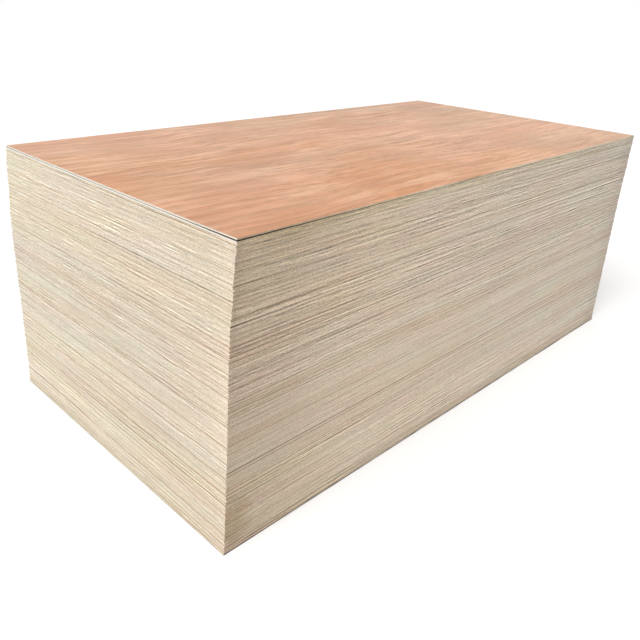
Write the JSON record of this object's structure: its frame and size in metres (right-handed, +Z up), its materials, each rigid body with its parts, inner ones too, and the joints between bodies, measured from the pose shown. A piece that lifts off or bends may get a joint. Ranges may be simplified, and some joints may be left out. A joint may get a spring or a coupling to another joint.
{
  "type": "stack of plywood sheets",
  "caption": "Hand-laid stack of thin full-size plywood sheets lying flat, with pale layered edges, a reddish veneer face on top and a slightly curled top sheet.",
  "frame": {"origin": "on the floor, under the middle of the stack's footprint", "axes": "+X along the sheets' length, +Y across them, +Z up; the pictured corner is at -X, -Y"},
  "size_m": [2.4596, 1.237, 0.9438],
  "materials": {
    "plywood": "sawn, unsealed edge",
    "face_veneer": "sanded, unsealed veneer"
  },
  "bodies": {
    "root": {"sheets_001_004": "plywood", "sheets_005_008": "plywood", "sheets_009_012": "plywood", "sheets_013_016": "plywood", "sheets_017_020": "plywood", "sheets_021_024": "plywood", "sheets_025_028": "plywood", "sheets_029_032": "plywood", "sheets_033_036": "plywood", "sheets_037_040": "plywood", "sheets_041_044": "plywood", "sheets_045_048": "plywood", "sheets_049_052": "plywood", "sheets_053_056": "plywood", "sheets_057_060": "plywood", "sheets_061_064": "plywood", "sheets_065_068": "plywood", "sheets_069_072": "plywood", "sheets_073_076": "plywood", "sheets_077_080": "plywood", "sheets_081_084": "plywood", "sheets_085_088": "plywood", "sheets_089_092": "plywood", "sheets_093_096": "plywood", "sheets_097_100": "plywood", "sheets_101_104": "plywood", "sheets_105_108": "plywood", "sheets_109_112": "plywood", "sheets_113_116": "plywood", "sheets_117_120": "plywood", "sheets_121_124": "plywood", "sheets_125_128": "plywood", "sheets_129_132": "plywood", "sheets_133_136": "plywood", "sheets_137_140": "plywood", "sheets_141_144": "plywood", "sheets_145_148": "plywood", "sheets_149_152": "plywood", "sheets_153_156": "plywood", "sheets_157_160": "plywood", "sheets_161_164": "plywood", "sheets_165_168": "plywood", "sheets_169_172": "plywood", "sheets_173_176": "plywood", "sheets_177_179": "plywood", "top_sheet": "face_veneer"}
  },
  "joints": []
}
